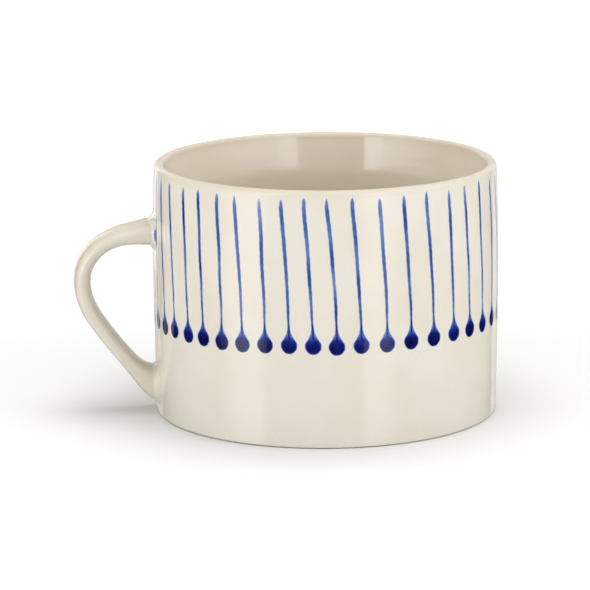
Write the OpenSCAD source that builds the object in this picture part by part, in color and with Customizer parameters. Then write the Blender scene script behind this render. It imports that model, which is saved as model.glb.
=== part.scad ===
// A wide, low stoneware mug: a thrown cup with one pulled strap handle, a cream glaze inside and
// out, and a ring of hand-painted cobalt strokes that each end in a round drop.
// Millimetres. The origin is the centre of the foot, on the table. +Z is up and the handle is at -X.

/* [Cup] */
// Height from the table to the top of the lip
cup_h = 80; // [70:1:90]
// Radius of the finished wall at the belly, where it is widest
belly_r = 55; // [50:0.5:60]
// Height of the belly above the table
belly_z = 50; // [45:1:55]
// How much smaller the radius is at the lip than at the belly
lip_draw = 0.8; // [0.2:0.1:2]
// How much smaller the radius is at the table than at the belly
foot_draw = 0.5; // [0.2:0.1:2]
// Thickness of the lip, glaze included
lip_t = 3.2; // [2.8:0.1:4]
// Thickness of the wall below its thinned top, glaze included
wall_t = 5.6; // [4.4:0.1:6]
// Height inside at which the wall starts to thin towards the lip
thin_z = 67.5; // [60:0.5:72]
// Height of the inside of the floor above the table
floor_z = 7; // [6:0.5:9]
// Radius of the round corner between wall and floor inside
floor_round = 10; // [6:1:14]

/* [Foot] */
// Radius of the flat, bare clay face that the mug stands on
foot_r = 53.8; // [48:0.1:54]
// Radius of the groove turned in that face
groove_r = 45; // [30:0.5:46]
// Width of the groove at the face
groove_w = 3; // [1:0.5:5]
// Depth of the groove
groove_t = 0.9; // [0.4:0.1:2]
// Height of the line where the outside glaze stops
glaze_line_z = 0.6; // [0.4:0.1:2]

/* [Glaze and paint] */
// Thickness of each glaze coat
glaze_t = 0.4; // [0.3:0.05:0.6]
// How far the painted marks stand proud of the glaze
paint_t = 0.12; // [0.08:0.02:0.2]
// Height of the middle of a painted drop
drop_z = 32; // [28:0.5:40]
// Half the width of a painted drop
drop_r = 2.55; // [2:0.05:3]
// How far a drop hangs below its middle
drop_low = 2.8; // [2:0.1:3.2]
// Height of the top end of the strokes
stroke_top_z = 77.4; // [70:0.2:78]
// Width of a stroke, before it narrows towards its drop
stroke_w = 1.1; // [0.6:0.05:1.5]
// How many marks stand round the cup
mark_count = 43; // [36:1:43]
// Degrees between marks where the painter set them close, in the first quarter from the handle
close_gap = 7.8; // [7.5:0.1:8.2]
// Degrees between the other marks
wide_gap = 8.6; // [8.2:0.1:8.6]

/* [Handle] */
// Radius of the slip fillet round the upper root
upper_slip_r = 2.6; // [1.2:0.1:3]
// Radius of the slip fillet round the lower root
lower_slip_r = 1; // [0.8:0.1:1.1]

/* [Hidden] */

$fn = 96;
clay = "#d9c8ad";
cream = "#ece6d9";
beige = "#e2d9c6";
cobalt = "#2b4a9b";
navy = "#18235e";

// Steps in the height of the curved wall profile, in the thinned top inside, and in a round corner
wall_steps = 12;
thin_steps = 4;
corner_steps = 8;

// Finished outside radius of the wall at height z: two parabolas that meet at the belly
function wall_r(z) = z > belly_z
    ? belly_r - lip_draw * pow((z - belly_z) / (cup_h - belly_z), 2)
    : belly_r - foot_draw * pow((belly_z - z) / belly_z, 2);

// Finished inside radius: the wall keeps its thickness up to thin_z, then thins steadily to the lip
function bore_r(z) = wall_r(z) - wall_t + (wall_t - lip_t) * max(0, z - thin_z) / (lip_z - thin_z);

lip_r = lip_t / 2;
lip_z = cup_h - lip_r;
lip_mid = wall_r(lip_z) - lip_r;
corner_z = floor_z + floor_round;
corner_mid = bore_r(corner_z) - floor_round;

function arc(x, z, r, from, to, steps) = [
    for (i = [0:steps]) let (a = from + (to - from) * i / steps) [x + r * cos(a), z + r * sin(a)]
];

// The heights strictly between two others, in equal steps
function between(from, to, steps) = [for (i = [1:steps - 1]) from + (to - from) * i / steps];

// Half profiles, as [radius, height], with cut being the depth below the finished surface
function outside_line(z0, cut) = concat(
    [for (i = [0:wall_steps - 1]) let (z = z0 + (lip_z - z0) * i / wall_steps) [wall_r(z) - cut, z]],
    arc(lip_mid, lip_z, lip_r - cut, 0, 90, corner_steps)
);
function inside_line(cut) = concat(
    arc(lip_mid, lip_z, lip_r - cut, 90, 180, corner_steps),
    [for (z = between(lip_z, thin_z, thin_steps)) [bore_r(z) + cut, z]],
    [[bore_r(thin_z) + cut, thin_z]],
    [for (z = between(thin_z, corner_z, wall_steps)) [bore_r(z) + cut, z]],
    arc(corner_mid, corner_z, floor_round + cut, 0, -90, corner_steps),
    [[0, floor_z - cut]]
);

function reversed(list) = [for (i = [len(list) - 1:-1:0]) list[i]];

// Clay of the cup: wall and floor, with a flat foot that has one groove turned in it
module cup_body() {
    groove = [
        [groove_r - groove_w / 2, 0],
        [groove_r - groove_w / 4, groove_t],
        [groove_r + groove_w / 4, groove_t],
        [groove_r + groove_w / 2, 0]
    ];
    color(clay) rotate_extrude() polygon(concat(
        [[0, 0]],
        groove,
        [[foot_r, 0]],
        outside_line(glaze_line_z, glaze_t),
        inside_line(glaze_t)
    ));
}

// Glaze poured inside, from the crest of the lip down over the floor
module liner_glaze() {
    color(beige) rotate_extrude() polygon(concat(inside_line(0), reversed(inside_line(glaze_t))));
}

// Glaze on the outside, from the foot line up to the crest of the lip, open where the roots land
module outer_glaze() {
    color(cream) difference() {
        rotate_extrude() polygon(concat(
            outside_line(glaze_line_z, 0),
            reversed(outside_line(glaze_line_z, glaze_t))
        ));
        root_windows();
    }
}

// The strap's stations from the upper root to the lower one: x, z, thickness and width, all finished
stations = [
    [-54.6, 58.4, 8.6, 15.5],
    [-61.5, 57.8, 6.8, 14.5],
    [-67.5, 56.4, 5.8, 14],
    [-73, 53.2, 5.6, 13.6],
    [-76.9, 47.6, 5.4, 13.4],
    [-77.7, 41, 5.4, 13.4],
    [-75.8, 34, 5.4, 13.4],
    [-71.5, 27, 5.2, 13.4],
    [-66.2, 20, 5.2, 13.6],
    [-60.6, 13.5, 6.2, 14.2],
    [-54.6, 8.1, 12, 15.5]
];
last = len(stations) - 1;

// Turn of each station's section: 0 is upright at the upper root and 180 upright at the lower one
function station_turn(i) = i == 0 ? 0 : i == last ? 180
    : let (a = stations[i - 1], b = stations[i + 1]) atan2(a[1] - b[1], a[0] - b[0]);
turned = [for (i = [0:last]) concat(stations[i], [station_turn(i)])];

// A smooth curve through all stations at u from 0 to last
function on_strap(u) =
    let (
        i = min(floor(u), last - 1),
        t = u - i,
        b = turned[i],
        c = turned[i + 1],
        a = i == 0 ? 2 * b - c : turned[i - 1],
        d = i == last - 1 ? 2 * c - b : turned[i + 2]
    )
    b + t / 2 * (c - a + t * (2 * a - 5 * b + 4 * c - d + t * (3 * (b - c) + d - a)));

// Rings run along the strap, close together at the two roots
ring_count = 48;
ring_sides = 24;
slip_rings = 8;
section_power = 2.3;
strap_length = 86;
root_blend = 9;

function ring_u(k) = last * (1 - cos(180 * k / ring_count)) / 2;
function root_gap(k) = strap_length / last * min(ring_u(k), last - ring_u(k));
function rounded(v) = sign(v) * pow(abs(v), 2 / section_power);

// The x where the clay wall lies on the handle's side
function clay_x(y, z) = -sqrt(pow(wall_r(z) - glaze_t, 2) - y * y);

// One ring of the strap, grown outwards by grow, and bent to the wall's curve at a root
function ring(k, grow) =
    let (
        s = on_strap(ring_u(k)),
        root_x = (ring_u(k) < last / 2 ? stations[0] : stations[last])[0],
        bend = pow(max(0, 1 - root_gap(k) / root_blend), 2)
    )
    [
        for (j = [0:ring_sides - 1])
            let (
                a = 360 * j / ring_sides,
                h = rounded(cos(a)) * (s[2] / 2 + grow),
                y = rounded(sin(a)) * (s[3] / 2 + grow),
                x = s[0] - h * sin(s[4]),
                z = s[1] + h * cos(s[4])
            )
            [x + bend * (clay_x(y, z) - root_x), y, z]
    ];

// How far the slip fillet stands off the strap at ring k: a quarter round that ends at the wall
function slip_grow(k) =
    let (
        r = ring_u(k) < last / 2 ? upper_slip_r : lower_slip_r,
        d = min(max(root_gap(k) - glaze_t, 0), r)
    )
    r - sqrt(r * r - pow(r - d, 2));

function side_faces(a, b) = [
    for (j = [0:ring_sides - 1])
        let (n = (j + 1) % ring_sides)
        each [
            [a * ring_sides + j, b * ring_sides + j, b * ring_sides + n],
            [a * ring_sides + j, b * ring_sides + n, a * ring_sides + n]
        ]
];

// A closed tube between two lists of rings that start and end together
module tube(outer, inner) {
    rings = concat(outer, reversed(inner));
    count = len(rings);
    polyhedron(
        [for (r = rings) each r],
        [for (i = [0:count - 1]) each side_faces(i, (i + 1) % count)]
    );
}

module handle() {
    rings = [for (k = [0:ring_count]) ring(k, -glaze_t)];
    hub = (ring_count + 1) * ring_sides;
    ends = [for (s = [stations[0], stations[last]]) [clay_x(0, s[1]), 0, s[1]]];
    color(clay) polyhedron(
        concat([for (r = rings) each r], ends),
        concat(
            [for (k = [0:ring_count - 1]) each side_faces(k, k + 1)],
            [for (j = [0:ring_sides - 1]) [hub, j, (j + 1) % ring_sides]],
            [
                for (j = [0:ring_sides - 1])
                    [hub + 1, hub - ring_sides + (j + 1) % ring_sides, hub - ring_sides + j]
            ]
        )
    );
}

// Glaze on the strap between the two slip joints
module handle_glaze() {
    span = [slip_rings:ring_count - slip_rings];
    color(cream) tube([for (k = span) ring(k, 0)], [for (k = span) ring(k, -glaze_t)]);
}

// Roll of slip round a root, glazed over, from the wall out to where the strap's own glaze starts
module slip_joint(span) {
    color(cream) tube([for (k = span) ring(k, slip_grow(k))], [for (k = span) ring(k, -glaze_t)]);
}
module upper_slip_joint() { slip_joint([0:slip_rings]); }
module lower_slip_joint() { slip_joint([ring_count - slip_rings:ring_count]); }

// Upright prisms with the outline of the slip joints where they meet the wall
module root_windows() {
    for (k = [0, ring_count])
        translate([-belly_r - 5, 0, 0]) rotate([90, 0, 90])
            linear_extrude(10) polygon([for (p = ring(k, slip_grow(k))) [p[1], p[2]]]);
}

// The marks are painted one after the other against the clock, starting beside the handle. The
// hand strays a little: in where a mark stands, how far its stroke leans to the left at the top, how
// much the stroke bows, and how high its drop sits.
first_mark = 190;
close_marks = 11;
strays = rands(-0.25, 0.25, mark_count, 1);
leans = rands(1.7, 3.5, mark_count, 2);
bows = rands(-0.25, 0.25, mark_count, 3);
rises = rands(-0.25, 0.25, mark_count, 4);

function mark_angle(i) = first_mark + strays[i]
    + close_gap * min(i, close_marks) + wide_gap * max(0, i - close_marks);

// The row of drops dips by row_dip towards the handle
row_top = 0.4;
row_dip = 1.2;

function drop_mid(i) = drop_z + row_top + rises[i] - row_dip * pow(max(0, -cos(mark_angle(i))), 2);
function neck_z(i) = drop_mid(i) + neck_rise;

// A stroke narrows to neck_w of its width at neck_rise above the middle of its drop
neck_rise = 6;
neck_w = 0.72;
stroke_steps = 10;
drop_steps = 10;
neck_steps = 5;

// A drop turns in towards its neck at this angle above its middle
shoulder = 16;

// How far a stroke's middle stands to the left of its drop at height z
function lean(i, z) =
    let (t = (z - drop_mid(i)) / (stroke_top_z - drop_mid(i)))
    leans[i] * pow(t, 1.4) + bows[i] * sin(180 * t);

// Half the width of a stroke at t, from 0 at the neck to 1 at the top: it widens up to t = 0.8, and
// comes to a blunt tip
function stroke_half(t) = stroke_w / 2
    * (t < 0.8 ? neck_w + (1 - neck_w) * t / 0.8 : 1 - 0.6 * pow((t - 0.8) / 0.2, 2));

// Half the width of a drop at height z above its middle, with a concave shoulder up to the neck
function drop_half(z) =
    let (
        start = drop_r * sin(shoulder),
        u = (z - start) / (neck_rise - start),
        neck = stroke_w / 2 * neck_w
    )
    neck + (drop_r * cos(shoulder) - neck) * pow(max(0, 1 - u), 1.9);

// An outline from its right side, as [x, z, middle] from the bottom up
function mirrored(side) = [
    for (p = side) [p[0], p[1]],
    for (p = reversed(side)) [2 * p[2] - p[0], p[1]]
];

module stroke_outline(i) {
    polygon(mirrored([
        for (k = [0:stroke_steps])
            let (
                t = k / stroke_steps,
                z = neck_z(i) + (stroke_top_z - neck_z(i)) * t,
                mid = -lean(i, z)
            )
            [mid + stroke_half(t), z, mid]
    ]));
}

module drop_outline(i) {
    bowl = [
        for (k = [0:drop_steps])
            let (a = -90 + (90 + shoulder) * k / drop_steps)
            [drop_r * cos(a), drop_mid(i) + (a < 0 ? drop_low : drop_r) * sin(a), 0]
    ];
    shoulder_z = drop_mid(i) + drop_r * sin(shoulder);
    neck = [
        for (k = [1:neck_steps])
            let (
                t = k / neck_steps,
                z = shoulder_z + (neck_z(i) - shoulder_z) * t,
                mid = -lean(i, z) * t
            )
            [mid + drop_half(z - drop_mid(i)), z, mid]
    ];
    polygon(mirrored(concat(bowl, neck)));
}

// Whatever is drawn as an outline, set on the wall all round and cut to a thin coat on the glaze
module painted() {
    intersection() {
        rotate_extrude() polygon(concat(
            [for (p = outside_line(glaze_line_z, 0)) if (p[1] <= lip_z) p + [paint_t, 0]],
            reversed([for (p = outside_line(glaze_line_z, 0)) if (p[1] <= lip_z) p])
        ));
        children();
    }
}

// Stands an outline, drawn as [right, up], upright in front of the wall where mark i is
module at_mark(i) {
    rotate(mark_angle(i)) translate([belly_r - 5, 0, 0]) rotate([90, 0, 90]) linear_extrude(10) children();
}

module brush_strokes() {
    color(cobalt) difference() {
        painted() for (i = [0:mark_count - 1]) at_mark(i) stroke_outline(i);
        root_windows();
    }
}

module paint_drops() {
    color(navy) painted() for (i = [0:mark_count - 1]) at_mark(i) drop_outline(i);
}

cup_body();
liner_glaze();
outer_glaze();
handle();
handle_glaze();
upper_slip_joint();
lower_slip_joint();
brush_strokes();
paint_drops();
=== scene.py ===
"""Visual model of a hand-painted stoneware mug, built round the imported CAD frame, with its studio.

Shapes are worked out in millimetres and turned into metres when a mesh is made. The frame is the CAD's:
origin at the centre of the foot, +Z up, the handle at -X.
"""
import math

import bpy
import numpy as np
from mathutils import Matrix, Vector


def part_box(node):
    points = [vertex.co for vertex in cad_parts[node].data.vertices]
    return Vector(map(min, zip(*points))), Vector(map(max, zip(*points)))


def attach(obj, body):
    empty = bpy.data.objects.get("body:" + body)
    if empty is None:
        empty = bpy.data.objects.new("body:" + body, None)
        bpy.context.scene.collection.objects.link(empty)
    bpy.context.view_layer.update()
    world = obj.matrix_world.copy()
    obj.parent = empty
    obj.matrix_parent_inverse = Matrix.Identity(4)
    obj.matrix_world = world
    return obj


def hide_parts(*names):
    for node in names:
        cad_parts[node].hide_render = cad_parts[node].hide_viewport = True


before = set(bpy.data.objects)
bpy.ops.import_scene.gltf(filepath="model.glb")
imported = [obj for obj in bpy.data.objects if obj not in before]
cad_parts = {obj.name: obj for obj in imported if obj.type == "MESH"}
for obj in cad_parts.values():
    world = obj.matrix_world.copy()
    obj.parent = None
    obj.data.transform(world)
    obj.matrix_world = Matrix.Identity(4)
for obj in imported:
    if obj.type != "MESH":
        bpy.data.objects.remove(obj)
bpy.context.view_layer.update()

MM = 0.001
rng = np.random.default_rng(7)

# ---------------------------------------------------------------------------------------------------
# The cup's own dimensions, in millimetres. They are the CAD's, but for three. The bead of glaze at
# GLAZE_LINE_Z hangs 0.35 mm lower here, and THIN_SOFT and FOOT_ROUND round two corners that the CAD has
# sharp: the one at THIN_Z inside, and the edge of the foot.

CUP_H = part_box("outer_glaze")[1].z / MM
BELLY_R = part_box("outer_glaze")[1].x / MM
BELLY_Z = 50
LIP_DRAW = 0.8
FOOT_DRAW = 0.5
LIP_T = 3.2
WALL_T = 5.6
THIN_Z = 67.5
THIN_SOFT = 0.85
FLOOR_Z = 7
FLOOR_ROUND = 10
FOOT_R = 53.8
FOOT_ROUND = 0.25
GROOVE_R = 45
GROOVE_W = 3
GROOVE_T = 0.9
GLAZE_LINE_Z = 0.25
GLAZE_T = 0.4

LIP_R = LIP_T / 2
LIP_Z = CUP_H - LIP_R
SIDES = 360

# Rows of waves on the thrown clay: size in millimetres, waves round the cup, phase in radians, and radians
# of turn for each millimetre of height. WANDER is the whole wall's. RIDGES are the fingers' spiral inside.
WANDER = [
    (0.09, 2, 0.7, 0),
    (0.05, 3, 2.1, 1 / 55),
    (0.025, 5, 0.4, -1 / 30),
    (0.012, 9, 0, 1 / 17),
    (0.003, 1, 0, 2 * math.pi / 5.3),
]
RIDGES = [(0.012, 1, 0, 2 * math.pi / 3.4), (0.01, 1, 1, 2 * math.pi / 7.9)]
RIDGES_FADE = 8

# The wander fades out towards the axis from these radii in, under the foot and on the floor inside
FOOT_STEADY_R = 30
FLOOR_STEADY_R = 20

# The rings that the turning tool left under the foot
RING_T = 0.035
RING_PITCH = 1.6
RING_STEP = 0.4
FOOT_CENTRE_Z = 0.02

# The outside coat ends in a bead BEAD_H high. The glaze thins, by THIN_AND_SHADE_MAX at most, over the lip,
# from
# THIN_AND_SHADE_LIP_IN under LIP_Z inside and THIN_AND_SHADE_LIP_OUT outside, and over the lowest
# THIN_AND_SHADE_BEAD of the outside. The tint of thin glaze there is also painted shade: it darkens the lip's
# crest and the lowest band above the foot.
BEAD_H = 0.5
THIN_AND_SHADE_MAX = 0.5
THIN_AND_SHADE_LIP_IN = 3
THIN_AND_SHADE_LIP_OUT = 1.5
THIN_AND_SHADE_BEAD = 0.6


def wall_r(z):
    """Outside radius of the finished wall at height z."""
    up = np.clip((z - BELLY_Z) / (CUP_H - BELLY_Z), 0, None)
    down = np.clip((BELLY_Z - z) / BELLY_Z, 0, None)
    return BELLY_R - LIP_DRAW * up**2 - FOOT_DRAW * down**2


def soft_ramp(d, width):
    """Zero below d = 0 and d above it, with the corner rounded over about the given width."""
    return (d + np.sqrt(d * d + width * width)) / 2


def bore_r(z):
    """Inside radius of the finished wall: its thickness is even up to THIN_Z, then falls to the lip."""
    thinned = soft_ramp(z - THIN_Z, THIN_SOFT) / soft_ramp(LIP_Z - THIN_Z, THIN_SOFT)
    return wall_r(z) - WALL_T + (WALL_T - LIP_T) * thinned


def thrown(rows, angle, z):
    """How far rows of waves move the clay out at a plan angle in radians and a height, in millimetres."""
    return sum(size * np.sin(count * angle + phase + turn * z) for size, count, phase, turn in rows)


def finished_r(angle, z):
    """Outside radius of this mug at a plan angle and a height, with its wander."""
    return wall_r(z) + thrown(WANDER, angle, z)


LIP_MID = float(wall_r(LIP_Z)) - LIP_R
CORNER_Z = FLOOR_Z + FLOOR_ROUND
CORNER_MID = float(bore_r(CORNER_Z)) - FLOOR_ROUND


def smoothstep(lo, hi, v):
    """0 up to lo and 1 from hi on, with a smooth rise between."""
    t = np.clip((v - lo) / (hi - lo), 0, 1)
    return t * t * (3 - 2 * t)


# ---------------------------------------------------------------------------------------------------
# Mesh helpers

# Edges that turn by more than this many degrees are shaded sharp
CREASE = 45


def make_piece(name, verts, faces, node, attributes=None):
    """A named piece from vertices in millimetres. It rides on the mug's one body and replaces a node."""
    mesh = bpy.data.meshes.new(name)
    mesh.from_pydata((np.asarray(verts) * MM).tolist(), [], faces)
    mesh.validate()
    for key, values in (attributes or {}).items():
        layer = mesh.attributes.new(key, "FLOAT", "POINT")
        layer.data.foreach_set("value", np.asarray(values, np.float32))
    mesh.shade_smooth()
    mesh.set_sharp_from_angle(angle=math.radians(CREASE))
    piece = bpy.data.objects.new(name, mesh)
    bpy.context.scene.collection.objects.link(piece)
    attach(piece, "root")
    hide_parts(node)
    return piece


def loft(rows, close_rows, close_cols):
    """Quads over a grid of points of shape rows x columns x 3."""
    count, width = rows.shape[:2]
    faces = []
    for i in range(count if close_rows else count - 1):
        n = (i + 1) % count
        for j in range(width if close_cols else width - 1):
            m = (j + 1) % width
            faces.append((i * width + j, i * width + m, n * width + m, n * width + j))
    return rows.reshape(-1, 3), faces


def revolve(profile, shift):
    """Vertices and faces of a turned solid from a closed half profile of [radius, height] points.

    Points on the axis become one vertex each. shift(angle, radius, height) moves a point outwards.
    """
    angles = np.arange(SIDES) * 2 * np.pi / SIDES
    verts, rows = [], []
    for r, z in profile:
        if r < 1e-6:
            rows.append([len(verts)])
            verts.append((0, 0, z))
            continue
        radii = r + shift(angles, r, z)
        rows.append(list(range(len(verts), len(verts) + SIDES)))
        verts.extend(zip(radii * np.cos(angles), radii * np.sin(angles), np.full(SIDES, float(z))))
    faces = []
    for low, high in zip(rows, rows[1:] + rows[:1]):
        if len(low) == 1 and len(high) == 1:
            continue
        for j in range(SIDES):
            n = (j + 1) % SIDES
            if len(low) == 1:
                faces.append((low[0], high[n], high[j]))
            elif len(high) == 1:
                faces.append((low[j], low[n], high[0]))
            else:
                faces.append((low[j], low[n], high[n], high[j]))
    return np.array(verts), faces


def arc(x, z, r, start, stop, steps):
    """Points on an arc, from one angle in degrees to another."""
    turns = np.radians(np.linspace(start, stop, steps + 1))
    return [(x + r * math.cos(a), z + r * math.sin(a)) for a in turns]


def outside_line(z0, cut):
    """Profile points from height z0 up the outside to the top of the lip, cut inside the surface."""
    heights = np.linspace(z0, LIP_Z, 96)[:-1]
    return [(float(wall_r(z)) - cut, z) for z in heights] + arc(LIP_MID, LIP_Z, LIP_R - cut, 0, 90, 24)


def inside_line(cut):
    """Profile points from the top of the lip down the inside to the axis, cut behind the surface."""
    heights = np.linspace(LIP_Z, CORNER_Z, 120)[1:-1]
    reach = np.linspace(CORNER_MID, 0, 60)[1:]
    return (
        arc(LIP_MID, LIP_Z, LIP_R - cut, 90, 180, 24)
        + [(float(bore_r(z)) + cut, z) for z in heights]
        + arc(CORNER_MID, CORNER_Z, FLOOR_ROUND + cut, 0, -90, 20)
        + [(r, FLOOR_Z - cut) for r in reach]
    )


# ---------------------------------------------------------------------------------------------------
# The cup: bare clay, the glaze poured inside and the glaze on the outside


def clay_shift(angle, r, z):
    """The wander of the clay, fading out under the foot."""
    return thrown(WANDER, angle, z) * float(smoothstep(0, FOOT_STEADY_R, r))


def liner_shift(angle, r, z):
    """The wander of the wall, and on it the low spiral ridges that the thrower's fingers left."""
    below_lip = float(smoothstep(0, RIDGES_FADE, LIP_Z - z))
    on_wall = float(smoothstep(CORNER_MID - RIDGES_FADE, CORNER_MID, r))
    wander = thrown(WANDER, angle, z) * float(smoothstep(0, FLOOR_STEADY_R, r))
    return wander + below_lip * on_wall * thrown(RIDGES, angle, z)


def outer_shift(angle, r, z):
    """The wander of the coat outside."""
    return thrown(WANDER, angle, z)


def foot_line():
    """The bare foot, from the axis to the glaze line: turned rings, one groove and a rounded edge."""
    points = [(0, FOOT_CENTRE_Z)]
    for r in np.arange(3 * RING_STEP, FOOT_R - 0.3, RING_STEP):
        ring = RING_T * (1 + math.sin(2 * math.pi * r / RING_PITCH)) * float(smoothstep(1, 6, FOOT_R - r))
        side = np.clip(1 - abs(r - GROOVE_R) / (GROOVE_W / 2), 0, 1)
        groove = GROOVE_T * float(smoothstep(0, 0.75, side))
        points.append((r, ring + groove))
    return points + arc(FOOT_R - FOOT_ROUND, FOOT_ROUND, FOOT_ROUND, -90, -30, 4)


def build_clay_cup():
    """Wall, floor and foot of bare clay, from the axis under the foot round to the axis inside."""
    edge = [(float(wall_r(GLAZE_LINE_Z)) - GLAZE_T, GLAZE_LINE_Z)]
    outside = outside_line(GLAZE_LINE_Z + GLAZE_T, GLAZE_T)
    profile = foot_line() + edge + outside + inside_line(GLAZE_T)[1:]
    verts, faces = revolve(profile, clay_shift)
    make_piece("clay_cup", verts, faces, "cup_body")


def build_inside_glaze():
    """The coat poured inside."""
    verts, faces = revolve(inside_line(0) + inside_line(GLAZE_T)[::-1], liner_shift)
    # Thin glaze and painted shade over the lip inside
    thin = THIN_AND_SHADE_MAX * smoothstep(LIP_Z - THIN_AND_SHADE_LIP_IN, CUP_H, verts[:, 2])
    make_piece("glaze_inside", verts, faces, "liner_glaze", {"thin": thin})


def build_outside_glaze():
    """The coat outside, from a rounded bead just above the foot to the top of the lip."""
    bead_r = GLAZE_T / 2
    bead_mid = float(wall_r(GLAZE_LINE_Z)) - bead_r
    bead = arc(bead_mid, GLAZE_LINE_Z + bead_r, bead_r, 180, 360, 10)
    low = GLAZE_LINE_Z + BEAD_H
    verts, faces = revolve(bead + outside_line(low, 0) + outside_line(low, GLAZE_T)[::-1], outer_shift)
    z = verts[:, 2]
    # Thin glaze and painted shade over the lip and over the lowest band above the foot
    at_lip = smoothstep(LIP_Z - THIN_AND_SHADE_LIP_OUT, CUP_H, z)
    at_bead = smoothstep(-GLAZE_LINE_Z - THIN_AND_SHADE_BEAD, -GLAZE_LINE_Z, -z)
    thin = THIN_AND_SHADE_MAX * np.maximum(at_lip, at_bead)
    make_piece("glaze_outside", verts, faces, "outer_glaze", {"thin": thin})


# ---------------------------------------------------------------------------------------------------
# The pulled strap handle. Each station is the x, z, thickness and width of its section, from the upper
# root to the lower one.

STATIONS = [
    (-54.6, 58.4, 8.6, 15.5),
    (-61.5, 57.8, 6.8, 14.5),
    (-67.5, 56.4, 5.8, 14),
    (-73, 53.2, 5.6, 13.6),
    (-76.9, 47.6, 5.4, 13.4),
    (-77.7, 41, 5.4, 13.4),
    (-75.8, 34, 5.4, 13.4),
    (-71.5, 27, 5.2, 13.4),
    (-66.2, 20, 5.2, 13.6),
    (-60.6, 13.5, 6.2, 14.2),
    (-54.6, 8.1, 12, 15.5),
]
LAST = len(STATIONS) - 1
ROOT_X = STATIONS[0][0]
STRAP_LENGTH = 86
ROOT_BLEND = 9
SECTION_POWER = 2.3
STRAP_SIDES = 96
STRAP_SECTIONS = 181

# A hand-pulled strap is uneven: size in millimetres, radians for each station and phase
UNEVEN_T = (0.10, 1.7, 1)
UNEVEN_W = (0.16, 1.1, 2)

# How thin the glaze is at the strap's two edges and on its two broad faces. On the broad faces, seen at a
# slant beside the edges, the tint is mostly painted shade.
THIN_AND_SHADE_AT_EDGES = 0.25
THIN_AND_SHADE_ON_FACES = 1.0


def waves(rows, at):
    """The sum of waves at a place along them. Each row is a wave's size, rate and phase."""
    return sum(size * np.sin(rate * at + phase) for size, rate, phase in rows)


def turned_stations():
    """The stations with the turn of each section added, 0 at the upper root and 180 at the lower."""
    out = []
    for i, here in enumerate(STATIONS):
        if i == 0:
            turn = 0.0
        elif i == LAST:
            turn = 180.0
        else:
            before, after = STATIONS[i - 1], STATIONS[i + 1]
            turn = math.degrees(math.atan2(before[1] - after[1], before[0] - after[0]))
        out.append((*here, turn))
    return np.array(out, float)


TURNED = turned_stations()


def on_strap(u):
    """x, z, thickness, width and turn at u, from 0 at the upper root to LAST at the lower."""
    i = min(int(u), LAST - 1)
    t = u - i
    b, c = TURNED[i], TURNED[i + 1]
    a = 2 * b - c if i == 0 else TURNED[i - 1]
    d = 2 * c - b if i == LAST - 1 else TURNED[i + 2]
    return b + t / 2 * (c - a + t * (2 * a - 5 * b + 4 * c - d + t * (3 * (b - c) + d - a)))


def rounded(v):
    """A sine or cosine drawn out so that the section becomes an oval with fuller corners."""
    return np.sign(v) * np.abs(v) ** (2 / SECTION_POWER)


def strap_ring(u, grow, turns):
    """Points of the strap's section at u, one for each angle round it in radians, grown by grow."""
    x, z, thick, width, turn = on_strap(u)
    middle = math.sin(math.pi * u / LAST)
    thick += middle * waves([UNEVEN_T], u)
    width += middle * waves([UNEVEN_W], u)
    h = rounded(np.cos(turns)) * (thick / 2 + grow)
    y = rounded(np.sin(turns)) * (width / 2 + grow)
    xs = x - h * math.sin(math.radians(turn))
    zs = z + h * math.cos(math.radians(turn))
    gap = STRAP_LENGTH / LAST * min(u, LAST - u)
    bend = max(0, 1 - gap / ROOT_BLEND) ** 2
    clay_x = -np.sqrt((wall_r(zs) - GLAZE_T) ** 2 - y * y)
    return np.stack([xs + bend * (clay_x - ROOT_X), y, zs], -1)


def strap_turns():
    """Angles round the strap's section, in radians."""
    return np.arange(STRAP_SIDES) * 2 * np.pi / STRAP_SIDES


def build_handle():
    """The strap of bare clay, and the coat of glaze round it. Sections lie closer near the roots."""
    turns = strap_turns()
    stops = LAST * (1 - np.cos(np.linspace(0, np.pi, STRAP_SECTIONS))) / 2
    clay = np.array([strap_ring(u, -GLAZE_T, turns) for u in stops])
    verts, faces = loft(clay, False, True)
    count = len(clay) * STRAP_SIDES
    faces.append(tuple(range(STRAP_SIDES)))
    faces.append(tuple(range(count - 1, count - 1 - STRAP_SIDES, -1)))
    make_piece("clay_handle", verts, faces, "handle")

    coat = np.array([strap_ring(u, 0, turns) for u in stops])
    verts, faces = loft(np.concatenate([coat, clay[::-1]]), True, True)
    # Painted shade: the strap's broad inner and outer faces get the full thin-glaze tint, darker than its
    # edges
    on_shaded_face = smoothstep(0.45, 0.95, np.abs(np.cos(turns)))
    thin = np.tile(THIN_AND_SHADE_AT_EDGES + (THIN_AND_SHADE_ON_FACES - THIN_AND_SHADE_AT_EDGES) * on_shaded_face, 2 * len(stops))
    make_piece("glaze_handle", verts, faces, "handle_glaze", {"thin": thin})


def wall_gap(p):
    """How far points stand off the finished wall."""
    return np.hypot(p[..., 0], p[..., 1]) - finished_r(np.arctan2(p[..., 1], p[..., 0]), p[..., 2])


def set_on_wall(p, sink):
    """A point moved in or out along its own radius until it lies sink below the finished wall."""
    angle = math.atan2(p[1], p[0])
    r = float(finished_r(angle, p[2])) - sink
    return np.array([r * math.cos(angle), r * math.sin(angle), p[2]])


def unit(v):
    """The vector v made 1 long."""
    return v / np.linalg.norm(v)


# A slip fillet's two edges lie SINK below what they meet, and its back SLIP_CUT below. It keeps
# SLIP_OVER_LINE above the glaze line. Its corner is looked for along SLIP_SPAN stations of the strap, at
# SLIP_LOOKS places.
SINK = 0.03
SLIP_CUT = 0.35
SLIP_STEPS = 18
SLIP_SPAN = 1.6
SLIP_LOOKS = 260
SLIP_OVER_LINE = 0.15


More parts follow.
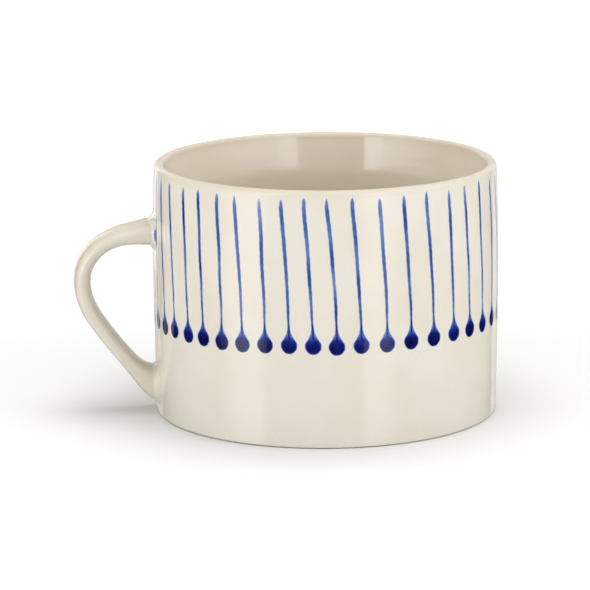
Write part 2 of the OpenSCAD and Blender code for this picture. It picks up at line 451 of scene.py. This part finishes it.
def slip_profile(line, grown, on_wall, on_strap_side):
    """One section of a slip fillet, from the strap to the wall and back underneath.

    line holds points of the strap's surface from the root outwards, and grown the same points 1 mm
    further out. The fillet leaves the strap on_strap_side from the corner, and ends on_wall from it.
    """
    gaps = wall_gap(line)
    k = int(np.argmax(gaps > 0))
    share = -gaps[k - 1] / (gaps[k] - gaps[k - 1])
    corner = line[k - 1] + share * (line[k] - line[k - 1])
    steps = np.linalg.norm(np.diff(line[k:], axis=0, prepend=corner[None]), axis=1)
    far = int(np.argmax(np.cumsum(steps) > on_strap_side)) + k
    out = unit(grown[far] - line[far])
    start = line[far] - SINK * out
    facing = unit(np.array([corner[0], corner[1], 0]))
    away = unit(grown[k] - line[k])
    along = unit(away - facing * (away @ facing))
    room = corner[2] - (GLAZE_LINE_Z + SLIP_OVER_LINE)
    if along[2] < 0:
        on_wall = min(on_wall, room / -along[2])
    stop = set_on_wall(corner + on_wall * along, SINK)
    t = np.linspace(0, 1, SLIP_STEPS)[:, None]
    fillet = (1 - t) ** 2 * start + 2 * t * (1 - t) * corner + t * t * stop
    back = [stop - SLIP_CUT * facing, corner - SLIP_CUT * (facing + away), start - SLIP_CUT * out]
    return np.concatenate([fillet, back])


def build_slip(name, node, upper, sizes):
    """The roll of slip round one root. sizes(turn) gives its reach on the wall and along the strap."""
    turns = strap_turns()
    us = np.linspace(0, SLIP_SPAN, SLIP_LOOKS)
    if not upper:
        us = LAST - us
    lines = np.array([strap_ring(u, 0, turns) for u in us])
    grown = np.array([strap_ring(u, 1, turns) for u in us])
    rows = [slip_profile(lines[:, j], grown[:, j], *sizes(turns[j])) for j in range(STRAP_SIDES)]
    verts, faces = loft(np.array(rows), True, True)
    if upper:
        faces = [f[::-1] for f in faces]
    make_piece(name, verts, faces, node, {"pool": pool_on(verts)})


def upper_sizes(turn):
    """The upper slip is wide on the wall. It is shorter on the strap's two edges than above and below."""
    return 3.0, 2.4 - 0.9 * abs(math.sin(turn))


def lower_sizes(turn):
    """The lower slip is broad at the strap's two edges, and small above and below it."""
    side = abs(math.sin(turn)) ** 2
    return 1.8 + 1.8 * side, 1.8 + 1.0 * side


# ---------------------------------------------------------------------------------------------------
# The painted marks. Their places come from the CAD's two painted nodes. A mark's mid is the widest height of
# its drop. The neck ends NECK_RISE above it, and the stroke goes on from there, with its wash spread wider
# than the CAD's stroke by the share STROKE_BLEED. Over the last TIP millimetres below TOP_Z the CAD's strokes
# taper, so half_of() ends them its own way.

DROP_R = 2.55
DROP_LOW = 2.8
NECK_RISE = 6
STROKE_BLEED = 0.26
TIP = 9
TOP_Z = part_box("brush_strokes")[1].z / MM
LOWEST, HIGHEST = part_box("paint_drops")[0].z / MM, TOP_Z - 0.05

# The heights at which the CAD's marks are cut. The shift keeps them off the heights of its corners.
LEVEL_STEP = 0.5
LEVEL_SHIFT = 0.03
LEVELS = np.arange(LOWEST, HIGHEST, LEVEL_STEP) + LEVEL_SHIFT

# A stroke leans to the left as it climbs. A piece of one is matched to its drop with its angle put back by
# LEAN, plus LEAN_RATE for each millimetre of height, in radians.
LEAN = 0.004
LEAN_RATE = 0.0005

# A cut narrower than this share of the stroke's usual width is one that a root of the handle trimmed
WHOLE_SHARE = 0.8

# A stroke lies open, not under a root of the handle, within this distance of a height with a whole cut
CUT_REACH = 2.2

# How much cobalt lies in a drop, in its neck and in its stroke, from 0 to 1. The first value of a pair is
# at the edge, and the second is what the middle has more. The ink fades in over EDGE_FADE, in millimetres
# inside the mark's edge. DOT_INK is what a lingering brush leaves at the top of some strokes.
BOWL_INK = (0.78, 0.20)
NECK_INK = (0.30, 0.46)
LINE_INK = (0.38, 0.11)
EDGE_FADE = (-0.16, 0.26)
DOT_INK = 0.25

# On a slip fillet the ink is a line where the fillet stands INK_STAND off the wall, ending INK_LINE from the
# stroke's middle. Nothing is painted above or below the strap, nearer than BESIDE to its middle. MARK_REACH
# is how far round the cup one mark's ink is looked for.
INK_STAND = (0.25, 0.75)
INK_ON_SLIP = 0.62
INK_LINE = (0.8, 1.3)
BESIDE = (6.2, 7.0)
MARK_REACH = 8


def islands(node):
    """The separate solids of a node, each as its edges' end points in millimetres (n x 2 x 3)."""
    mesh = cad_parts[node].data
    co = np.empty(len(mesh.vertices) * 3)
    mesh.vertices.foreach_get("co", co)
    co = co.reshape(-1, 3) / MM
    spots, where = np.unique(np.round(co, 4), axis=0, return_inverse=True)
    where = where.reshape(-1)
    ends = np.empty(len(mesh.edges) * 2, int)
    mesh.edges.foreach_get("vertices", ends)
    ends = where[ends].reshape(-1, 2)
    label = np.arange(len(spots))
    while True:
        low = np.minimum(label[ends[:, 0]], label[ends[:, 1]])
        new = label.copy()
        np.minimum.at(new, ends[:, 0], low)
        np.minimum.at(new, ends[:, 1], low)
        new = new[new]
        if (new == label).all():
            break
        label = new
    return [spots[ends[label[ends[:, 0]] == k]] for k in np.unique(label)]


def cut_at(edges, z):
    """The lowest and highest plan angle at which an island's edges cross height z, or None."""
    a, b = edges[:, 0], edges[:, 1]
    hit = (a[:, 2] - z) * (b[:, 2] - z) < 0
    if not hit.any():
        return None
    a, b = a[hit], b[hit]
    t = ((z - a[:, 2]) / (b[:, 2] - a[:, 2]))[:, None]
    p = a + t * (b - a)
    middle = math.atan2(p[:, 1].mean(), p[:, 0].mean())
    turn = np.angle(np.exp(1j * (np.arctan2(p[:, 1], p[:, 0]) - middle)))
    return middle + turn.min(), middle + turn.max()


def read_marks():
    """One dict for each mark: its drop's angle and middle height, and the middle and half width by height.

    Middles are millimetres to the right of the drop. Cuts where a root of the handle trims the stroke are
    left out.
    """
    marks = []
    for edges in islands("paint_drops"):
        mid = edges[..., 2].min() + DROP_LOW
        left, right = cut_at(edges, mid)
        marks.append({"angle": (left + right) / 2, "mid": mid, "cuts": [], "from": edges})
    marks.sort(key=lambda m: m["angle"])
    base = np.array([m["angle"] for m in marks])
    for edges in [m.pop("from") for m in marks] + islands("brush_strokes"):
        cuts = [(z, cut_at(edges, z)) for z in LEVELS]
        cuts = [(z, *c) for z, c in cuts if c is not None]
        if not cuts:
            continue
        lean = LEAN + LEAN_RATE * (cuts[0][0] - LOWEST)
        away = np.angle(np.exp(1j * ((cuts[0][1] + cuts[0][2]) / 2 + lean - base)))
        owner = int(np.abs(away).argmin())
        for z, left, right in cuts:
            middle = np.angle(np.exp(1j * ((left + right) / 2 - base[owner])))
            marks[owner]["cuts"].append((z, middle * BELLY_R, (right - left) / 2 * BELLY_R))
    for mark in marks:
        cuts = np.array(sorted(mark["cuts"]))
        line = cuts[:, 0] > mark["mid"] + NECK_RISE + 2
        whole = cuts[:, 2] > WHOLE_SHARE * np.median(cuts[line, 2])
        mark["cuts"] = cuts[whole | ~line]
    return marks


def random_waves(count, sizes, rates):
    """Rows for waves(), with each wave's size and rate drawn from a range and its phase from a full turn."""
    return [(rng.uniform(*sizes), rng.uniform(*rates), rng.uniform(0, 6.3)) for _ in range(count)]


def dress_mark(mark):
    """Adds what the brush did with one mark: how much cobalt it held and how the stroke ends."""
    mark["load"] = rng.uniform(0.92, 1.08)
    mark["top"] = TOP_Z + rng.uniform(0.0, 0.9)
    mark["taper"] = rng.uniform(0.8, 3.2)
    mark["waves"] = random_waves(4, (0.05, 0.12), (0.12, 0.5))
    mark["sway"] = random_waves(3, (0.02, 0.06), (0.15, 0.4))
    mark["dot"] = rng.random() < 0.15
    mark["depth"] = rng.uniform(0.86, 1.03)


MARKS = read_marks()
for each in MARKS:
    dress_mark(each)


def middle_of(mark, z):
    """The stroke's middle at height z, in millimetres to the right of its drop."""
    cuts = mark["cuts"]
    out = np.interp(z, cuts[:, 0], cuts[:, 1])
    above = smoothstep(mark["mid"] + 3, mark["mid"] + 12, z)
    return out + above * waves(mark["sway"], z)


def half_of(mark, z):
    """Half the width of the mark at height z, with a tapered top."""
    cuts, mid = mark["cuts"], mark["mid"]
    out = np.interp(np.minimum(z, TOP_Z - TIP), cuts[:, 0], cuts[:, 2])
    bowl = DROP_R * np.sqrt(np.clip(1 - ((z - mid) / DROP_LOW) ** 2, 0, None))
    out = np.where(z < mid, bowl, out)
    tip = np.clip((mark["top"] - z) / mark["taper"], 0, 1)
    spread = 1 + STROKE_BLEED * smoothstep(mid + NECK_RISE - 2, mid + NECK_RISE + 8, z)
    return out * spread * np.where(z > mid + NECK_RISE + 10, tip**0.4, 1)


def pool_at(mark, s, z):
    """How much cobalt lies at s millimetres to the right of the drop and at height z, from 0 to 1.

    In the drop it has sunk to the bottom. In the neck it is darkest along the middle. In the stroke it thins
    towards the top.
    """
    mid = mark["mid"]
    half = half_of(mark, z)
    off = np.abs(s - middle_of(mark, z))
    slope = (half_of(mark, z + 0.1) - half_of(mark, z - 0.1)) / 0.2
    sides = (half - off) / np.sqrt(1 + slope**2)
    round_depth = DROP_R * (1 - np.hypot(s / DROP_R, (z - mid) / DROP_LOW))
    depth = np.where(z < mid, round_depth, sides)
    depth = depth + 0.05 * np.sin(2.1 * z + 3 * mark["load"]) * np.sin(1.7 * s + z)
    cover = smoothstep(*EDGE_FADE, depth)
    sunk = 1 - 0.2 * smoothstep(mid - 1.2, mid + 2.4, z)
    bowl = (BOWL_INK[0] + BOWL_INK[1] * smoothstep(0.05, 0.8, depth)) * sunk * mark["depth"]
    neck = NECK_INK[0] + NECK_INK[1] * np.exp(-((off / 0.3) ** 2))
    tone = 1 + waves(mark["waves"], z)
    line = mark["load"] * tone * (LINE_INK[0] + LINE_INK[1] * smoothstep(0.05, 0.4, depth))
    line = line * (0.62 + 0.38 * smoothstep(0, 5, mark["top"] - z))
    if mark["dot"]:
        line = line + DOT_INK * np.exp(-(((z - mark["top"] + 1.6) / 0.7) ** 2))
    rise = smoothstep(mid + 1.0, mid + 3.9, z)
    lift = smoothstep(mid + NECK_RISE - 1.5, mid + NECK_RISE + 2.5, z)
    ink = (1 - lift) * ((1 - rise) * bowl + rise * neck) + lift * line
    return np.clip(cover * ink, 0, 1)


def pool_on(verts):
    """The cobalt on a slip fillet where a stroke crosses its side, for each vertex.

    The stroke runs on over the fillet's foot. Higher up it is a line along the fillet's slope, where the
    fillet stands INK_STAND off the wall.
    """
    angle = np.arctan2(verts[:, 1], verts[:, 0])
    gap = wall_gap(verts)
    low, high = INK_STAND
    slope = smoothstep(low - 0.15, low + 0.1, gap) * (1 - smoothstep(high - 0.1, high + 0.15, gap))
    foot = 1 - smoothstep(low - 0.1, low + 0.25, gap)
    beside = smoothstep(*BESIDE, np.abs(verts[:, 1]))
    out = np.zeros(len(verts))
    for mark in MARKS:
        s = np.angle(np.exp(1j * (angle - mark["angle"]))) * BELLY_R
        near = np.abs(s) < MARK_REACH
        z = verts[near, 2]
        off = np.abs(s[near] - middle_of(mark, z))
        above = smoothstep(mark["mid"] + 3, mark["mid"] + NECK_RISE, z)
        line = INK_ON_SLIP * above * (1 - smoothstep(*INK_LINE, off)) * slope[near]
        stroke = pool_at(mark, s[near], z) * foot[near]
        out[near] = np.maximum(out[near], np.maximum(line, stroke))
    return out * beside


# A painted strip lies PAINT_LIFT over the glaze, and its back PAINT_CUT under it. It is wider on each side
# than its mark by a margin, so that the ink fades out before the strip ends.
PAINT_LIFT = 0.02
PAINT_CUT = 0.25
DROP_MARGIN = 0.6
STROKE_MARGIN = 0.45
DROP_COLUMNS = 27
STROKE_COLUMNS = 15
DROP_STEP = 0.2
STROKE_STEP = 0.5
TOP_MARGIN = 0.6


def ribbon(mark, heights, halves, columns):
    """A closed strip on the wall along a mark, and the pool of cobalt at each of its vertices."""
    across = np.linspace(-1, 1, columns)
    z = heights[:, None] + 0 * across[None]
    middle = np.where(heights < mark["mid"], 0, middle_of(mark, heights))
    s = middle[:, None] + halves[:, None] * across[None]
    angle = mark["angle"] + s / BELLY_R
    r = finished_r(angle, z)
    sheets = []
    for lift in (PAINT_LIFT, -PAINT_CUT):
        sheets.append(np.stack([(r + lift) * np.cos(angle), (r + lift) * np.sin(angle), z], -1))
    top, under = sheets
    loop = np.concatenate([top, under[:, -1:], under[:, :1]], axis=1)
    verts, faces = loft(loop, False, True)
    width = loop.shape[1]
    count = len(verts)
    faces = [f[::-1] for f in faces]
    faces.append(tuple(range(width)))
    faces.append(tuple(range(count - 1, count - width - 1, -1)))
    pool = pool_at(mark, s, z)
    pool = np.concatenate([pool, pool[:, -1:] * 0, pool[:, :1] * 0], axis=1).reshape(-1)
    return verts, faces, pool


def open_runs(mark, lowest, highest, step):
    """Runs of heights where the mark lies on the open wall, not under the handle's roots."""
    heights = np.arange(lowest, highest, step)
    known = mark["cuts"][:, 0]
    near = np.abs(known[None] - heights[:, None]).min(axis=1) < CUT_REACH
    seen = near | (heights < mark["mid"]) | (heights > known.max())
    breaks = np.nonzero(np.diff(seen.astype(int)))[0] + 1
    runs = zip(np.split(heights, breaks), np.split(seen, breaks))
    return [run for run, is_open in runs if is_open[0] and len(run) > 3]


def join(parts):
    """One vertex list, face list and pool list from several ribbons."""
    verts, faces, pools = [], [], []
    for v, f, p in parts:
        start = sum(len(x) for x in verts)
        verts.append(v)
        faces.extend(tuple(start + i for i in face) for face in f)
        pools.append(p)
    return np.concatenate(verts), faces, np.concatenate(pools)


def drop_ribbon(mark):
    """The strip for one drop and its neck."""
    mid, neck = mark["mid"], mark["mid"] + NECK_RISE
    heights = np.arange(mid - DROP_LOW - 0.5, neck - 0.1, DROP_STEP)
    heights = np.append(heights, neck)
    height_share = (heights - mid) / (DROP_LOW + DROP_MARGIN)
    bowl = (DROP_R + DROP_MARGIN) * np.sqrt(np.clip(1 - height_share**2, 0.03, None))
    halves = np.where(heights < mid, bowl, half_of(mark, heights) + DROP_MARGIN)
    return ribbon(mark, heights, halves, DROP_COLUMNS)


def stroke_ribbons(mark):
    """The strips for one stroke, one for each stretch of it that lies open."""
    highest = min(mark["top"] + TOP_MARGIN, LIP_Z)
    runs = open_runs(mark, mark["mid"] + NECK_RISE, highest, STROKE_STEP)
    return [ribbon(mark, run, half_of(mark, run) + STROKE_MARGIN, STROKE_COLUMNS) for run in runs]


def build_paint():
    """All the strokes as one piece, and all the drops as another."""
    drops = [drop_ribbon(mark) for mark in MARKS]
    strokes = [strip for mark in MARKS for strip in stroke_ribbons(mark)]
    verts, faces, pool = join(strokes)
    make_piece("painted_strokes", verts, faces, "brush_strokes", {"pool": pool})
    verts, faces, pool = join(drops)
    make_piece("painted_drops", verts, faces, "paint_drops", {"pool": pool})


# ---------------------------------------------------------------------------------------------------
# Materials


def srgb(r, g, b):
    """A linear colour from 8-bit display values."""
    values = [v / 255 for v in (r, g, b)]
    return tuple(v / 12.92 if v <= 0.04045 else ((v + 0.055) / 1.055) ** 2.4 for v in values) + (1.0,)


class Nodes:
    """A small helper that adds nodes to a material and links them.

    place is the object's own coordinates, in metres.
    """

    def __init__(self, name):
        self.material = bpy.data.materials.new(name)
        self.material.use_nodes = True
        self.tree = self.material.node_tree
        self.shader = self.tree.nodes["Principled BSDF"]
        coords = self.tree.nodes.new("ShaderNodeTexCoord")
        self.place = coords.outputs["Object"]

    def link(self, source, target):
        """Links an output to an input."""
        self.tree.links.new(source, target)

    def noise(self, scale, detail, roughness=0.5):
        """Cloudy noise. scale counts its cells in a metre."""
        node = self.tree.nodes.new("ShaderNodeTexNoise")
        node.inputs["Scale"].default_value = scale
        node.inputs["Detail"].default_value = detail
        node.inputs["Roughness"].default_value = roughness
        self.link(self.place, node.inputs["Vector"])
        return node.outputs["Fac"]

    def attribute(self, name):
        """A value stored with the mesh's vertices, and 0 on a mesh without it."""
        node = self.tree.nodes.new("ShaderNodeAttribute")
        node.attribute_name = name
        return node.outputs["Fac"]

    def fit(self, source, lo, hi, out_lo=0.0, out_hi=1.0, smooth=True):
        """Maps a value from lo..hi to out_lo..out_hi."""
        node = self.tree.nodes.new("ShaderNodeMapRange")
        node.interpolation_type = "SMOOTHSTEP" if smooth else "LINEAR"
        self.link(source, node.inputs["Value"])
        for key, v in (("From Min", lo), ("From Max", hi), ("To Min", out_lo), ("To Max", out_hi)):
            node.inputs[key].default_value = v
        return node.outputs["Result"]

    def math(self, kind, a, b):
        """One step of arithmetic on two values, each a number or an output."""
        node = self.tree.nodes.new("ShaderNodeMath")
        node.operation = kind
        for k, v in enumerate((a, b)):
            if isinstance(v, (int, float)):
                node.inputs[k].default_value = v
            else:
                self.link(v, node.inputs[k])
        return node.outputs[0]

    def mix(self, factor, a, b):
        """Colour a where the factor is 0 and colour b where it is 1."""
        node = self.tree.nodes.new("ShaderNodeMix")
        node.data_type = "RGBA"
        if isinstance(factor, (int, float)):
            node.inputs["Factor"].default_value = factor
        else:
            self.link(factor, node.inputs["Factor"])
        for key, v in (("A", a), ("B", b)):
            socket = [s for s in node.inputs if s.name == key and s.type == "RGBA"][0]
            if isinstance(v, tuple):
                socket.default_value = v
            else:
                self.link(v, socket)
        return [s for s in node.outputs if s.type == "RGBA"][0]

    def ramp(self, source, stops):
        """A colour picked from stops of position and colour."""
        node = self.tree.nodes.new("ShaderNodeValToRGB")
        self.link(source, node.inputs["Fac"])
        elements = node.color_ramp.elements
        while len(elements) < len(stops):
            elements.new(0.5)
        for element, (position, colour) in zip(elements, stops):
            element.position = position
            element.color = colour
        return node.outputs["Color"]

    def specks(self, scale, size, share):
        """A mask of sparse round specks: size in cell widths, and the share of cells that have one."""
        node = self.tree.nodes.new("ShaderNodeTexVoronoi")
        node.inputs["Scale"].default_value = scale
        self.link(self.place, node.inputs["Vector"])
        dot = self.fit(node.outputs["Distance"], size, size * 0.4)
        split = self.tree.nodes.new("ShaderNodeSeparateColor")
        self.link(node.outputs["Color"], split.inputs["Color"])
        chosen = self.math("GREATER_THAN", split.outputs[0], 1 - share)
        return self.math("MULTIPLY", dot, chosen)

    def bump(self, height, distance):
        """Raises the surface by a distance in metres where the height is 1."""
        node = self.tree.nodes.new("ShaderNodeBump")
        node.inputs["Strength"].default_value = 1.0
        node.inputs["Distance"].default_value = distance
        self.link(height, node.inputs["Height"])
        self.link(node.outputs["Normal"], self.shader.inputs["Normal"])


CREAM = srgb(228, 223, 211)
CREAM_WARM = srgb(223, 214, 197)
# The inside coat is a slightly warmer and darker copy of the cream: painted shade for the inside of the cup
LINER_SHADED = srgb(228, 219, 204)
LINER_WARM_SHADED = srgb(222, 210, 191)
# Tint of thin glaze, also used as painted shade
THIN_GLAZE_AND_SHADE = srgb(208, 191, 164)
GLAZE_GRAIN = srgb(196, 178, 150)
GLAZE_SPECK = srgb(120, 96, 70)
BARE_CLAY = srgb(206, 190, 163)
CLAY_CLOUD = srgb(190, 171, 142)
CLAY_GRAIN = srgb(168, 147, 117)
CLAY_SPECK = srgb(112, 88, 64)

# Cobalt by how much of it lies there, from a thin wash to a full pool
COBALT = [
    (0.0, srgb(160, 178, 212)),
    (0.22, srgb(112, 138, 190)),
    (0.46, srgb(64, 96, 162)),
    (0.64, srgb(34, 56, 138)),
    (0.8, srgb(18, 26, 104)),
    (1.0, srgb(10, 8, 60)),
]

# From this much cobalt on, the glaze's own colour no longer shows
COBALT_HIDES = 0.34

# The depth of the relief, in metres
GLAZE_RIPPLE = 0.00006
CLAY_GRIT = 0.00012
GLAZE_IOR = 1.5


def glaze(name, base, warm):
    """Glossy glaze: clouded a little, warmer where it is thin and darker where shade is painted, with fine
    specks and any cobalt in it.
    """
    n = Nodes(name)
    clouds = n.fit(n.noise(45, 3), 0.38, 0.68)
    colour = n.mix(n.math("MULTIPLY", clouds, 0.5), base, warm)
    # Painted shade: the thin-glaze tint darkens the lip's crest, the lowest band above the foot and the
    # handle's broad faces
    colour = n.mix(n.math("MULTIPLY", n.attribute("thin"), 0.6), colour, THIN_GLAZE_AND_SHADE)
    grain = n.fit(n.noise(1400, 2), 0.3, 0.7, 0.0, 0.05)
    colour = n.mix(grain, colour, GLAZE_GRAIN)
    specks = n.math("MULTIPLY", n.specks(170, 0.045, 0.05), 0.5)
    colour = n.mix(specks, colour, GLAZE_SPECK)
    pool = n.attribute("pool")
    uneven = n.fit(n.noise(520, 3, 0.6), 0.3, 0.7, 0.88, 1.1, smooth=False)
    ink = n.math("MULTIPLY", pool, uneven)
    cobalt = n.ramp(ink, COBALT)
    colour = n.mix(n.fit(pool, 0.0, COBALT_HIDES), colour, cobalt)
    n.link(colour, n.shader.inputs["Base Color"])
    n.link(n.fit(n.noise(160, 2), 0.3, 0.7, 0.07, 0.13), n.shader.inputs["Roughness"])
    n.shader.inputs["IOR"].default_value = GLAZE_IOR
    ripple = n.math("ADD", n.noise(110, 1), n.math("MULTIPLY", n.noise(520, 1), 0.12))
    n.bump(ripple, GLAZE_RIPPLE)
    return n.material


def clay(name):
    """Unglazed buff stoneware: matt, speckled and a little gritty."""
    n = Nodes(name)
    colour = n.mix(n.fit(n.noise(60, 4), 0.35, 0.7), BARE_CLAY, CLAY_CLOUD)
    colour = n.mix(n.fit(n.noise(2600, 3), 0.45, 0.75, 0.0, 0.45), colour, CLAY_GRAIN)
    colour = n.mix(n.math("MULTIPLY", n.specks(420, 0.16, 0.2), 0.55), colour, CLAY_SPECK)
    n.link(colour, n.shader.inputs["Base Color"])
    n.link(n.fit(n.noise(900, 2), 0.3, 0.7, 0.72, 0.9), n.shader.inputs["Roughness"])
    n.bump(n.noise(2400, 4, 0.65), CLAY_GRIT)
    return n.material


def sweep():
    """The floor: plain matt white, with painted light: it glows a little more the further it is from the mug,
    so that only near the foot is it left in shade.
    """
    n = Nodes("floor_painted_glow")
    n.shader.inputs["Base Color"].default_value = FLOOR_WHITE
    n.shader.inputs["Roughness"].default_value = 0.9
    n.shader.inputs["Specular IOR Level"].default_value = 0.0
    away = n.tree.nodes.new("ShaderNodeVectorMath")
    away.operation = "LENGTH"
    n.link(n.place, away.inputs[0])
    # Painted light: the floor glows more the further it lies from the foot
    glow = n.fit(away.outputs["Value"], SWEEP_START, SWEEP_NEAR, 0.0, SWEEP_RIM)
    further = n.fit(away.outputs["Value"], SWEEP_NEAR, SWEEP_FAR, 0.0, SWEEP_GLOW, smooth=False)
    glow = n.math("ADD", glow, further)
    n.shader.inputs["Emission Color"].default_value = (1, 1, 1, 1)
    n.link(glow, n.shader.inputs["Emission Strength"])
    return n.material


def dress():
    """Gives each piece its material."""
    cream = glaze("cream_glaze", CREAM, CREAM_WARM)
    liner_shaded = glaze("liner_glaze", LINER_SHADED, LINER_WARM_SHADED)
    looks = {
        "clay_cup": clay("bare_clay"),
        "glaze_inside": liner_shaded,
        "glaze_outside": cream,
        "glaze_handle": cream,
        "slip_upper": cream,
        "slip_lower": cream,
        "painted_strokes": glaze("cobalt_stroke", CREAM, CREAM_WARM),
        "painted_drops": glaze("cobalt_drop", CREAM, CREAM_WARM),
    }
    looks["clay_handle"] = looks["clay_cup"]
    for name, material in looks.items():
        bpy.data.objects[name].data.materials.append(material)


# ---------------------------------------------------------------------------------------------------
# Studio. The camera's values are in millimetres, and everything else here is in metres.

TURN = math.radians(-5)
CAMERA_LIFT = math.radians(12.65)
CAMERA_ROLL = math.radians(0.38)
CAMERA_AWAY = 990
CAMERA_AIM = (-9.86, 0, 36.1)
CAMERA_LENS = 188.6

FLOOR_HALF = 6
FLOOR_DROP = 0.00002
FLOOR_WHITE = (0.84, 0.84, 0.84, 1)

# The floor's glow, painted light, starts SWEEP_START metres from the cup's axis. It is SWEEP_RIM at
# SWEEP_NEAR, and SWEEP_GLOW more at SWEEP_FAR.
SWEEP_START = 0.054
SWEEP_NEAR = 0.1
SWEEP_FAR = 0.75
SWEEP_RIM = 0.09
SWEEP_GLOW = 0.56

WORLD_GLOW = 0.47
LIGHT_AWAY = 1.5
PANEL_AWAY = 1.2
PANEL_COLUMNS = 24
PANEL_ROWS = 12

# The share of a panel's length that its edge takes where it has no fade
HARD_EDGE = 1e-4


def build_camera():
    """A long lens, a little above the lip, with the handle turned 5 degrees away from it."""
    spin = Matrix.Rotation(TURN, 3, "Z")
    forward = Vector((0, math.cos(CAMERA_LIFT), -math.sin(CAMERA_LIFT)))
    right = Vector((1, 0, 0))
    up = Vector((0, math.sin(CAMERA_LIFT), math.cos(CAMERA_LIFT)))
    c, s = math.cos(CAMERA_ROLL), math.sin(CAMERA_ROLL)
    axes = [spin @ (c * right - s * up), spin @ (s * right + c * up), spin @ -forward]
    place = spin @ (Vector(CAMERA_AIM) - CAMERA_AWAY * forward) * MM
    data = bpy.data.cameras.new("camera")
    data.lens = CAMERA_LENS
    data.sensor_width = 36
    data.clip_start = 0.05
    data.clip_end = 50
    camera = bpy.data.objects.new("camera", data)
    camera.matrix_world = Matrix.Translation(place) @ Matrix(axes).transposed().to_4x4()
    bpy.context.scene.collection.objects.link(camera)
    bpy.context.scene.camera = camera


def toward(azimuth, lift, away):
    """A point seen from the mug at an azimuth from the camera's side, counted to the right, in metres."""
    a = math.radians(azimuth) + TURN
    e = math.radians(lift)
    return Vector((math.sin(a) * math.cos(e), -math.cos(a) * math.cos(e), math.sin(e))) * away


def panel_grid(start, stop, low, high, away):
    """Points and faces of a curved panel, and how far along it each point lies, from 0 to 1."""
    points, along, faces = [], [], []
    for j in range(PANEL_ROWS + 1):
        lift = low + (high - low) * j / PANEL_ROWS
        for i in range(PANEL_COLUMNS + 1):
            points.append(toward(start + (stop - start) * i / PANEL_COLUMNS, lift, away))
            along.append(i / PANEL_COLUMNS)
    width = PANEL_COLUMNS + 1
    for j in range(PANEL_ROWS):
        for i in range(PANEL_COLUMNS):
            k = j * width + i
            faces.append((k, k + 1, k + width + 1, k + width))
    return points, faces, along


def panel(name, start, stop, low, high, strength, fade_in=0.0, fade_out=0.0, away=PANEL_AWAY):
    """A glowing panel between two azimuths and two elevations, seen only as a reflection.

    fade_in and fade_out are the shares of its length over which its glow rises and falls.
    """
    points, faces, along = panel_grid(start, stop, low, high, away)
    mesh = bpy.data.meshes.new(name)
    mesh.from_pydata(points, [], faces)
    mesh.attributes.new("along", "FLOAT", "POINT").data.foreach_set("value", along)
    n = Nodes(name)
    n.tree.nodes.remove(n.shader)
    glow = n.tree.nodes.new("ShaderNodeEmission")
    where = n.attribute("along")
    level = n.fit(where, 0.0, max(fade_in, HARD_EDGE))
    level = n.math("MULTIPLY", level, n.fit(where, 1.0, 1 - max(fade_out, HARD_EDGE)))
    n.link(n.math("MULTIPLY", level, strength), glow.inputs["Strength"])
    n.link(glow.outputs[0], n.tree.nodes["Material Output"].inputs["Surface"])
    mesh.materials.append(n.material)
    thing = bpy.data.objects.new(name, mesh)
    bpy.context.scene.collection.objects.link(thing)
    for key in ("camera", "diffuse", "transmission", "shadow", "volume_scatter"):
        setattr(thing, "visible_" + key, False)


def soft_light(name, azimuth, lift, size, power):
    """A square area light aimed at the mug. Neither the camera nor a reflection sees it."""
    data = bpy.data.lights.new(name, "AREA")
    data.size = size
    data.energy = power
    light = bpy.data.objects.new(name, data)
    light.location = toward(azimuth, lift, LIGHT_AWAY)
    light.rotation_mode = "QUATERNION"
    light.rotation_quaternion = light.location.to_track_quat("Z", "Y")
    light.visible_glossy = False
    light.visible_camera = False
    bpy.context.scene.collection.objects.link(light)


def build_floor():
    """A wide white floor, just under the foot."""
    corners = [(x * FLOOR_HALF, y * FLOOR_HALF, 0) for x, y in ((-1, -1), (1, -1), (1, 1), (-1, 1))]
    floor = bpy.data.meshes.new("floor")
    floor.from_pydata(corners, [], [(0, 1, 2, 3)])
    floor.materials.append(sweep())
    ground = bpy.data.objects.new("floor", floor)
    ground.location.z = -FLOOR_DROP
    ground.visible_glossy = False
    bpy.context.scene.collection.objects.link(ground)


def build_world():
    """An even white world, which no reflection sees."""
    world = bpy.data.worlds.new("studio")
    bpy.context.scene.world = world
    world.use_nodes = True
    background = world.node_tree.nodes["Background"]
    background.inputs["Color"].default_value = (1, 1, 1, 1)
    background.inputs["Strength"].default_value = WORLD_GLOW
    world.cycles_visibility.glossy = False


def build_lights():
    """Soft lights: azimuth and elevation in degrees, size in metres and power in watts."""
    soft_light("overhead", 100, 85, 1.0, 12)
    soft_light("key_left", -60, 13, 0.9, 7.3)
    soft_light("key_front", 0, 11, 0.9, 2.1)
    soft_light("key_right", 68, 13, 0.9, 7.8)


def build_panels():
    """What the glaze reflects. The boxes and the strip show outside, and the high panels inside the cup.

    The backdrop, behind the mug, shows where the glaze turns away from the camera.
    """
    panel("box_left", -78, -36, -12, 2, 2.0, fade_in=0.5, fade_out=0.2)
    panel("box_left_low", -78, -36, -26, -12, 1.6, fade_in=0.5, fade_out=0.2)
    panel("box_right", 24, 50, -40, 2, 1.3, fade_out=0.5)
    # Each high panel is brightest next to the camera and low down
    for side, inner, step, outer, glow in (("left", -30, -44, -110, 4.2), ("right", 20, 35.5, 130, 3.0)):
        panel("high_%s_foot" % side, inner, step, 3, 9, 1.6 * glow)
        panel("high_%s_core" % side, inner, step, 9, 26, glow)
        panel("high_%s_wing" % side, step, outer, 3, 26, 0.65 * glow, fade_out=1.0)
    panel("strip_far_left", -162, -150, -10, 30, 1.2, away=PANEL_AWAY + 0.05)
    panel("backdrop", 146, 214, -50, 50, 0.65, away=PANEL_AWAY + 0.1)


build_clay_cup()
build_inside_glaze()
build_outside_glaze()
build_handle()
build_slip("slip_upper", "upper_slip_joint", True, upper_sizes)
build_slip("slip_lower", "lower_slip_joint", False, lower_sizes)
build_paint()
dress()
build_camera()
build_floor()
build_world()
build_lights()
build_panels()
bpy.context.scene.view_settings.view_transform = "Standard"
